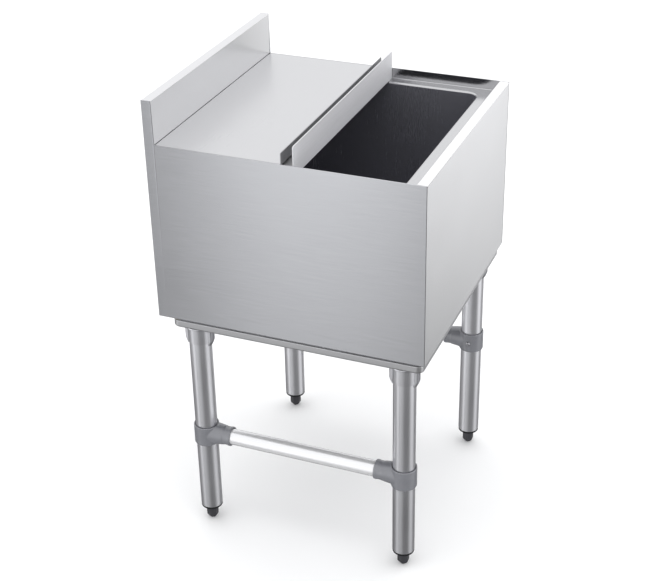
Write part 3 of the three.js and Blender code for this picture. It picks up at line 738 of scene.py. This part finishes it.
def base_tray():
    """A pressed band that carries the legs, with a narrower neck up to the body."""
    low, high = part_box("base_tray")
    drain = (0, (TUB_FRONT + TUB_BACK) / 2)
    band_top = low.z + TRAY_BAND

    def loop(inset, z):
        corner = max(TRAY_CORNER - inset, MM)
        return rounded_loop(high.x - inset, low.y + inset, high.y - inset, corner, z)

    outside = [loop(NECK_INSET, high.z), loop(NECK_INSET, band_top)]
    inside = [loop(NECK_INSET + SHEET, high.z), loop(NECK_INSET + SHEET, band_top - SHEET)]
    for inset, z in arc((TRAY_SHOULDER, band_top - TRAY_SHOULDER), TRAY_SHOULDER, 90, 180, 4):
        outside.append(loop(inset, z))
    inside.append(loop(SHEET, band_top - SHEET))
    for inset, z in arc((TRAY_EDGE, low.z + TRAY_EDGE), TRAY_EDGE, 180, 270, 6):
        outside.append(loop(inset, z))
    for inset, z in arc((TRAY_EDGE, low.z + TRAY_EDGE), TRAY_EDGE - SHEET, 180, 270, 6):
        inside.append(loop(inset, z))
    hole = [
        matched_circle(outside[-1], drain, TAILPIECE_HOLE, low.z),
        matched_circle(outside[-1], drain, TAILPIECE_HOLE, low.z + SHEET),
    ]
    bm = bmesh.new()
    skin(bm, [*outside, *hole, *inside[::-1]], closed=True)
    finish_piece(object_of("base_tray_pressed", bm), TRAY_STEEL, "panel_steel", ROOT, "base_tray")


# ---------------------------------------------------------------- legs


def middle_of(node):
    low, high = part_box(node)
    return (low + high) / 2


def leg_socket(place):
    """Plate under the tray, sleeve around the leg, and an ear in front and one behind."""
    node = f"leg_socket_{place}"
    low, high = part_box(node)
    centre = middle_of(f"leg_{place}")
    bore = LEG_RADIUS + GAP
    pinhole = bore * PLATE_PINHOLE
    bottom = low.z + EAR_BELOW_SLEEVE
    plate_bottom = high.z - SOCKET_PLATE
    plate_radius = (high.x - low.x) / 2
    fillet_centre = (SOCKET_RADIUS + SOCKET_FILLET, plate_bottom - SOCKET_FILLET)
    profile = [
        (bore, bottom + TUBE_EDGE),
        (bore + TUBE_EDGE, bottom),
        (SOCKET_RADIUS - TUBE_EDGE, bottom),
        (SOCKET_RADIUS, bottom + TUBE_EDGE),
        *arc(fillet_centre, SOCKET_FILLET, 180, 90, 4),
        (plate_radius - TUBE_EDGE, plate_bottom),
        (plate_radius, plate_bottom + TUBE_EDGE),
        (plate_radius, high.z - TUBE_EDGE),
        (plate_radius - TUBE_EDGE, high.z),
        (pinhole, high.z),
        (pinhole, plate_bottom),
        (bore, plate_bottom),
    ]
    bm = bmesh.new()
    lathe(bm, profile, centre)
    for direction in (-1, 1):
        socket_ear(bm, centre, direction, low, high)

    def is_ear(at, _):
        return abs(at.y - centre.y) > SOCKET_RADIUS and at.z < plate_bottom - TOUCH

    # The ears get the darker steel: painted shade.
    choose_materials(bm, is_ear)
    materials = (SOCKET_STEEL, EAR_PAINTED_SHADE_STEEL)
    finish_piece(object_of(f"{node}_cast", bm), materials, "leg_steel", ROOT, node)


def socket_ear(bm, centre, direction, low, high):
    """A rib with a rounded back, full depth at the top and narrowing to its tip."""
    reach = (high.y - centre.y) - SOCKET_RADIUS
    inner = LEG_RADIUS + GAP
    outline = [(low.z + above, part) for above, part in EAR_OUTLINE]
    outline.append((high.z - SOCKET_PLATE, 1))
    loops = []
    for z, part in outline:
        outer = SOCKET_RADIUS + reach * part
        loop = []
        for step in range(EAR_STEPS + 1):
            angle = math.radians(180 * step / EAR_STEPS)
            across = EAR_HALF_WIDTH * math.cos(angle)
            out = outer - reach * EAR_CROWN * (1 - math.sin(angle))
            loop.append((centre.x + direction * across, centre.y + direction * out, z))
        for across in (-EAR_HALF_WIDTH, 0, EAR_HALF_WIDTH):
            out = math.sqrt(inner * inner - across * across)
            loop.append((centre.x + direction * across, centre.y + direction * out, z))
        loops.append(loop)
    skin(bm, loops, closed=False)


def leg_tube(place):
    node = f"leg_{place}"
    low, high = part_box(node)
    bm = bmesh.new()
    lathe(bm, tube_profile(LEG_RADIUS, LEG_WALL, low.z, high.z, TUBE_EDGE), middle_of(node))
    finish_piece(object_of(f"{node}_tube", bm), TUBE_STEEL, "leg_steel", ROOT, node)


def side_rail(side):
    node = f"side_rail_{side}"
    low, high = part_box(node)
    profile = tube_profile(RAIL_RADIUS, RAIL_WALL, low.y, high.y, RAIL_EDGE)
    bm = bmesh.new()
    lathe(bm, profile, middle_of(node), axis="y")
    finish_piece(object_of(f"{node}_tube", bm), RAIL_STEEL, "rail_steel", ROOT, node)


# ---------------------------------------------------------------- T connectors


def apply_modifiers(obj):
    depsgraph = bpy.context.evaluated_depsgraph_get()
    mesh = bpy.data.meshes.new_from_object(obj.evaluated_get(depsgraph))
    obj.modifiers.clear()
    obj.data = mesh


def cut_away(obj, cutter_bm):
    """Takes a closed mesh away from an object."""
    cutter = object_of("cutter", cutter_bm)
    boolean = obj.modifiers.new("cut", "BOOLEAN")
    boolean.operation = "DIFFERENCE"
    boolean.solver = "EXACT"
    boolean.object = cutter
    apply_modifiers(obj)
    bpy.data.objects.remove(cutter)


def tee_blank(half, reach):
    """Collar and rail socket around the origin, without their bores, remeshed so that they flow together."""
    origin = Vector((0, 0, 0))
    lip = TEE_MOUTH - TEE_LIP
    bm = bmesh.new()
    lathe(bm, [(TEE_RADIUS, -half), (TEE_RADIUS, half)], origin, closed=False)
    for profile in (
        TEE_FAIRING,
        [(lip, TEE_SOCKET_FROM), (lip, reach)],
        [(TEE_MOUTH, reach - TEE_LIP_LENGTH), (TEE_MOUTH, reach)],
    ):
        lathe(bm, profile, origin, axis="y", closed=False)
    blank = object_of("tee_shape", bm)
    remesh = blank.modifiers.new("one_skin", "REMESH")
    remesh.mode = "VOXEL"
    remesh.voxel_size = TEE_VOXEL
    smooth = blank.modifiers.new("fillets", "SMOOTH")
    smooth.factor = 0.5
    smooth.iterations = TEE_SMOOTHING
    apply_modifiers(blank)
    return blank


def tee_shape():
    """The T connector around the origin, with its rail socket along +Y."""
    low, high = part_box("tee_front_left")
    half = (high.z - low.z) / 2
    reach = high.y - middle_of("leg_front_left").y
    origin = Vector((0, 0, 0))
    shape = tee_blank(half, reach)
    trim = bmesh.new()
    for z0, z1 in ((half - TEE_TRIM, BEYOND), (-BEYOND, -half + TEE_TRIM)):
        lathe(trim, [(BEYOND, z0), (BEYOND, z1)], origin, closed=False, count=SMALL_ROUND)
    cut_away(shape, trim)
    bore = bmesh.new()
    fit, mouth, mouth_from = LEG_RADIUS + GAP, LEG_RADIUS + TEE_RECESS, half - TEE_RECESS_DEPTH
    lathe(bore, [
        (mouth, -BEYOND), (mouth, -mouth_from), (fit, -mouth_from),
        (fit, mouth_from), (mouth, mouth_from), (mouth, BEYOND),
    ], origin, closed=False)
    cut_away(shape, bore)
    rail = bmesh.new()
    fit, mouth, mouth_from = RAIL_RADIUS + GAP, RAIL_RADIUS + TEE_RECESS, reach - TEE_RECESS_DEPTH
    lathe(rail, [
        (fit, TEE_BORE_END), (fit, mouth_from), (mouth, mouth_from), (mouth, BEYOND),
    ], origin, axis="y", closed=False)
    cut_away(shape, rail)
    return shape


def tee_connector(shape, place):
    """A copy of the T connector at its leg, with its socket towards the other leg of its side."""
    node = f"tee_{place}"
    middle = middle_of(f"leg_{place}")
    middle.z = middle_of(node).z
    towards = 1 if place.startswith("front") else -1
    mesh = shape.data.copy()
    mesh.transform(Matrix.Translation(middle) @ Matrix.Diagonal((1, towards, 1, 1)))
    if towards < 0:
        mesh.flip_normals()
    obj = bpy.data.objects.new(f"{node}_moulded", mesh)
    bpy.context.scene.collection.objects.link(obj)
    finish_piece(obj, TEE_PLASTIC, "tee_plastic", ROOT, node, sharp=45)


# ---------------------------------------------------------------- feet


def foot_insert(place):
    """Plug in the end of the tube: a flange with a rounded rim, and a ribbed shank inside."""
    node = f"foot_insert_{place}"
    low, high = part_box(node)
    shank = LEG_RADIUS - LEG_WALL - GAP
    rim = LEG_RADIUS - INSERT_INSET
    flange_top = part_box(f"leg_{place}")[0].z - GAP
    profile = [
        (FOOT_HOLE, low.z),
        *arc((rim - INSERT_EDGE, low.z + INSERT_EDGE), INSERT_EDGE, 270, 360, 6),
        (rim, flange_top),
    ]
    for n in range(INSERT_RIBS):
        z = flange_top + (high.z - flange_top) * n / INSERT_RIBS
        profile += [(shank - RIB_DEPTH, z + RIB_FOOT), (shank, z + RIB_CREST), (shank, z + RIB_END)]
    profile += [(shank - INSERT_TIP_INSET, high.z), (FOOT_HOLE, high.z)]
    bm = bmesh.new()
    lathe(bm, profile, middle_of(node))
    finish_piece(object_of(f"{node}_plug", bm), INSERT_PLASTIC, "insert_plastic", ROOT, node, sharp=35)


def hexagon_loop(centre, across_corners, z):
    """A hexagon of points with its corners cut back to a circle."""
    apothem = across_corners * math.cos(math.pi / 6)
    loop = []
    for n in range(SMALL_ROUND):
        angle = 2 * math.pi * n / SMALL_ROUND
        from_flat = (angle % (math.pi / 3)) - math.pi / 6
        radius = min(apothem / math.cos(from_flat), across_corners * FOOT_ROUNDNESS)
        loop.append(circle_point(centre, radius, angle, z))
    return loop


def circle_loop(centre, radius, z):
    return [circle_point(centre, radius, 2 * math.pi * n / SMALL_ROUND, z) for n in range(SMALL_ROUND)]


def levelling_foot(place):
    """Six-sided so that a wrench turns it, tapered to a small flat tip."""
    node = f"levelling_foot_{place}"
    low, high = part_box(node)
    centre = middle_of(node)
    radius = max(high.x - low.x, high.y - low.y) / 2
    shoulder = low.z + FOOT_TAPER
    outline = (
        (FOOT_TIP - FOOT_EDGE, low.z),
        (FOOT_TIP, low.z + FOOT_EDGE),
        (radius - FOOT_EDGE, shoulder - FOOT_EDGE),
        (radius, shoulder + FOOT_EDGE),
        (radius, high.z - 2 * FOOT_EDGE),
        (radius - FOOT_EDGE, high.z - FOOT_EDGE / 2),
        (radius - 2 * FOOT_EDGE, high.z),
    )
    loops = [hexagon_loop(centre, across_corners, z) for across_corners, z in outline]
    loops += [circle_loop(centre, FOOT_HOLE, z) for z in (high.z, low.z + FOOT_HOLE_END)]
    bm = bmesh.new()
    skin(bm, loops, closed=False)
    finish_piece(
        object_of(f"{node}_hex", bm), FOOT_PLASTIC, "foot_plastic", f"foot_{place}", node, sharp=25,
    )


def foot_stud(place):
    """A stud with a real thread: its radius falls and rises as a helix runs up it."""
    node = f"foot_stud_{place}"
    low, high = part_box(node)
    centre = middle_of(node)
    rows = round((high.z - low.z) / THREAD_PITCH * THREAD_ROWS)
    loops = []
    for row in range(rows + 1):
        z = low.z + (high.z - low.z) * row / rows
        from_end = min(z - low.z, high.z - z) / THREAD_PITCH
        loop = []
        for n in range(THREAD_ROUND):
            turn = ((z - low.z) / THREAD_PITCH - n / THREAD_ROUND) % 1
            depth = THREAD_DEPTH * abs(2 * turn - 1)
            radius = STUD_RADIUS - max(depth, THREAD_DEPTH * (1 - min(from_end, 1)))
            loop.append(circle_point(centre, radius, 2 * math.pi * n / THREAD_ROUND, z))
        loops.append(loop)
    bm = bmesh.new()
    skin(bm, loops, closed=False)
    finish_piece(
        object_of(f"{node}_threaded", bm), SCREW_STEEL, "screw_steel", f"foot_{place}", node, sharp=70,
    )


def set_screw(node):
    """Button-head screw on the inner side of its leg, with a round hole for a key."""
    low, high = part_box(node)
    centre = middle_of(node)
    inward = -1 if centre.x > 0 else 1
    shank_end = low.x if inward > 0 else high.x
    head_top = high.x if inward > 0 else low.x
    head = (high.z - low.z) / 2
    shank = head / 2
    neck = head_top - inward * SCREW_HEAD
    dome = SCREW_HEAD - SCREW_HEAD_RIM
    profile = [
        (2 * PIN_RADIUS, shank_end),
        (shank - SCREW_CHAMFER, shank_end),
        (shank, shank_end + inward * SCREW_CHAMFER),
        (shank, neck),
        (head, neck),
        (head, neck + inward * SCREW_HEAD_RIM),
    ]
    for step in range(1, SCREW_DOME_STEPS + 1):
        part = step / SCREW_DOME_STEPS
        rise = SCREW_HEAD_RIM + dome * math.sin(part * math.pi / 2)
        profile.append((head * math.cos(part * SCREW_DOME_SPAN), neck + inward * rise))
    profile += [
        (KEY_RADIUS + SCREW_CHAMFER, head_top),
        (KEY_RADIUS, head_top - inward * KEY_CHAMFER),
        (KEY_RADIUS, head_top - inward * KEY_DEPTH),
        (PIN_RADIUS, head_top - inward * (KEY_DEPTH + KEY_POINT)),
    ]
    bm = bmesh.new()
    lathe(bm, profile, centre, axis="x", closed=False, count=SMALL_ROUND)
    finish_piece(object_of(f"{node}_button", bm), SCREW_STEEL, "screw_steel", ROOT, node, sharp=35)


# ---------------------------------------------------------------- pieces


def build_pieces():
    for side in ("left", "right"):
        side_panel(side)
        side_rail(side)
    front_panel()
    back_panel()
    backsplash()
    tub_liner()
    rear_lid()
    front_lid()
    base_tray()
    shape = tee_shape()
    for place in PLACES:
        leg_socket(place)
        leg_tube(place)
        tee_connector(shape, place)
        foot_insert(place)
        levelling_foot(place)
        foot_stud(place)
        set_screw(f"socket_screw_{place}")
        set_screw(f"tee_screw_{place}")
    bpy.data.objects.remove(shape)


def finish_cad_nodes():
    """The pieces that keep their CAD shape get a material of their own."""
    materials = {
        "drain_strainer": DRAIN_STEEL,
        "drain_gasket": RUBBER,
        "drain_locknut": DRAIN_STEEL,
        "drain_tailpiece": DRAIN_STEEL,
    }
    for side in ("bottom", "front", "back", "left", "right"):
        materials[f"insulation_{side}"] = FOAM
    for node, material in materials.items():
        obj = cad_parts[node]
        obj.data.materials.clear()
        obj.data.materials.append(material)


# ---------------------------------------------------------------- studio

CAMERA_PLACE = (-1.976272, -0.798990, 1.606788)
CAMERA_AZIMUTH = -67.873         # degrees: 0 looks along +Y, -90 along +X
CAMERA_ELEVATION = 28.285
CAMERA_ROLL = -1.056
CAMERA_SENSOR = 36               # millimetres
CAMERA_LENS = 77.337
CAMERA_SHIFT = (-0.0160, -0.0452)
CAMERA_REACH = 60                # metres

FLOOR_SIZE = 28                  # metres from the middle to each side
FLOOR_TONES = ((0.89, 0.89, 0.89), (0.91, 0.91, 0.91))
FLOOR_GLOSS = 0.1

# Upright softboxes around the object: degrees from -Y (negative towards -X), half width in degrees
# and strength
SOFTBOXES = (
    (-140, 18, 1.5),
    (-113, 7, 1.05),
    (-95, 17, 0.55),
    (8, 32, 1.15),
    (70.6, 6.5, 1.5),
    (180, 22, 0.25),
)
STUDIO_BASE = 0.33               # light from everywhere else
STUDIO_TINT = (0.985, 0.99, 1, 1)
CEILING = 0.56                   # added above the horizon
CEILING_FROM, CEILING_FULL = -0.05, 0.28    # heights on a sphere of radius 1, as all those below
HORIZON_GLOW = 0.35              # added from just below the horizon up
GLOW_FROM, GLOW_FULL = -0.38, -0.12
FLOOR_SHADE = 0.25               # how much of the light is left straight down
SHADE_FROM, SHADE_FULL = -0.28, -0.66
OVERHEAD_PLACE = (0.2, -0.1, 3.4)
OVERHEAD_AIM = (0, 0, 0.4)
OVERHEAD_SIZE = 4.0
OVERHEAD_POWER = 31


def add_camera():
    """The photo's camera."""
    azimuth, elevation, roll = map(math.radians, (CAMERA_AZIMUTH, CAMERA_ELEVATION, CAMERA_ROLL))
    back = Vector((
        math.sin(azimuth) * math.cos(elevation),
        -math.cos(azimuth) * math.cos(elevation),
        math.sin(elevation),
    ))
    level = Vector((math.cos(azimuth), math.sin(azimuth), 0))
    upright = back.cross(level)
    right = level * math.cos(roll) + upright * math.sin(roll)
    up = upright * math.cos(roll) - level * math.sin(roll)
    camera = bpy.data.objects.new("camera", bpy.data.cameras.new("camera"))
    bpy.context.scene.collection.objects.link(camera)
    turn = Matrix((right, up, back)).transposed().to_4x4()
    camera.matrix_world = Matrix.Translation(CAMERA_PLACE) @ turn
    camera.data.sensor_width = CAMERA_SENSOR
    camera.data.lens = CAMERA_LENS
    camera.data.shift_x, camera.data.shift_y = CAMERA_SHIFT
    camera.data.clip_end = CAMERA_REACH
    bpy.context.scene.camera = camera


def add_floor():
    """A pale floor that lights the object from below, but isn't mirrored in its steel."""
    bm = bmesh.new()
    bmesh.ops.create_grid(bm, x_segments=4, y_segments=4, size=FLOOR_SIZE)
    floor = object_of("floor", bm)
    material, nodes, links, shader = node_material("pale_floor", FLOOR_TONES[1], 0, 0.9)
    tone = blend_colors(nodes, links, noise(nodes, links, 1.5), *FLOOR_TONES)
    links.new(tone, shader.inputs["Base Color"])
    shader.inputs["Specular IOR Level"].default_value = FLOOR_GLOSS
    floor.data.materials.append(material)
    floor.visible_glossy = False


def smooth_range(tree, value, start, end, strength, least=0):
    """A value that rises smoothly from the least to its full strength between two limits."""
    ramp = tree.nodes.new("ShaderNodeMapRange")
    ramp.interpolation_type = "SMOOTHSTEP"
    ramp.inputs["From Min"].default_value = start
    ramp.inputs["From Max"].default_value = end
    ramp.inputs["To Min"].default_value = least
    ramp.inputs["To Max"].default_value = strength
    tree.links.new(value, ramp.inputs["Value"])
    return ramp.outputs["Result"]


def combined(tree, operation, one, two):
    node = tree.nodes.new("ShaderNodeMath")
    node.operation = operation
    tree.links.new(one, node.inputs[0])
    tree.links.new(two, node.inputs[1])
    return node.outputs["Value"]


def level_direction(tree, split):
    """The direction to a point of the world with its height taken out."""
    level = tree.nodes.new("ShaderNodeCombineXYZ")
    for axis in "XY":
        tree.links.new(split.outputs[axis], level.inputs[axis])
    unit = tree.nodes.new("ShaderNodeVectorMath")
    unit.operation = "NORMALIZE"
    tree.links.new(level.outputs["Vector"], unit.inputs[0])
    return unit.outputs["Vector"]


def softbox(tree, direction, azimuth, half_width, strength):
    """An upright strip of light, brightest in the middle."""
    angle = math.radians(azimuth)
    facing = tree.nodes.new("ShaderNodeVectorMath")
    facing.operation = "DOT_PRODUCT"
    facing.inputs[1].default_value = (math.sin(angle), -math.cos(angle), 0)
    tree.links.new(direction, facing.inputs[0])
    edge = math.cos(math.radians(half_width))
    return smooth_range(tree, facing.outputs["Value"], edge, 1, strength)


def add_world():
    """A soft studio all round: a dim room with a bright ceiling and a few tall softboxes."""
    world = bpy.data.worlds.new("studio")
    bpy.context.scene.world = world
    world.use_nodes = True
    tree = world.node_tree
    place = tree.nodes.new("ShaderNodeTexCoord")
    split = tree.nodes.new("ShaderNodeSeparateXYZ")
    tree.links.new(place.outputs["Generated"], split.inputs["Vector"])
    height = split.outputs["Z"]
    direction = level_direction(tree, split)

    boxes = softbox(tree, direction, *SOFTBOXES[0])
    for box in SOFTBOXES[1:]:
        boxes = combined(tree, "ADD", boxes, softbox(tree, direction, *box))
    below_ceiling = smooth_range(tree, height, CEILING_FULL, CEILING_FROM, 1)
    boxes = combined(tree, "MULTIPLY", boxes, below_ceiling)
    glow = smooth_range(tree, height, GLOW_FROM, GLOW_FULL, STUDIO_BASE + HORIZON_GLOW, STUDIO_BASE)
    ceiling = smooth_range(tree, height, CEILING_FROM, CEILING_FULL, CEILING)
    room = combined(tree, "ADD", ceiling, glow)
    shade = smooth_range(tree, height, SHADE_FULL, SHADE_FROM, 1, FLOOR_SHADE)
    total = combined(tree, "MULTIPLY", combined(tree, "ADD", room, boxes), shade)
    background = tree.nodes["Background"]
    tree.links.new(total, background.inputs["Strength"])
    background.inputs["Color"].default_value = STUDIO_TINT


def add_overhead_light():
    light = bpy.data.lights.new("overhead", "AREA")
    light.shape = "DISK"
    light.size = OVERHEAD_SIZE
    light.energy = OVERHEAD_POWER
    obj = bpy.data.objects.new("overhead", light)
    bpy.context.scene.collection.objects.link(obj)
    obj.location = OVERHEAD_PLACE
    aim = Vector(OVERHEAD_AIM) - Vector(OVERHEAD_PLACE)
    obj.rotation_euler = aim.to_track_quat("-Z", "Y").to_euler()
    obj.visible_glossy = False


def add_studio():
    add_camera()
    add_floor()
    add_world()
    add_overhead_light()
    bpy.context.scene.view_settings.view_transform = "Standard"


build_pieces()
finish_cad_nodes()
add_studio()
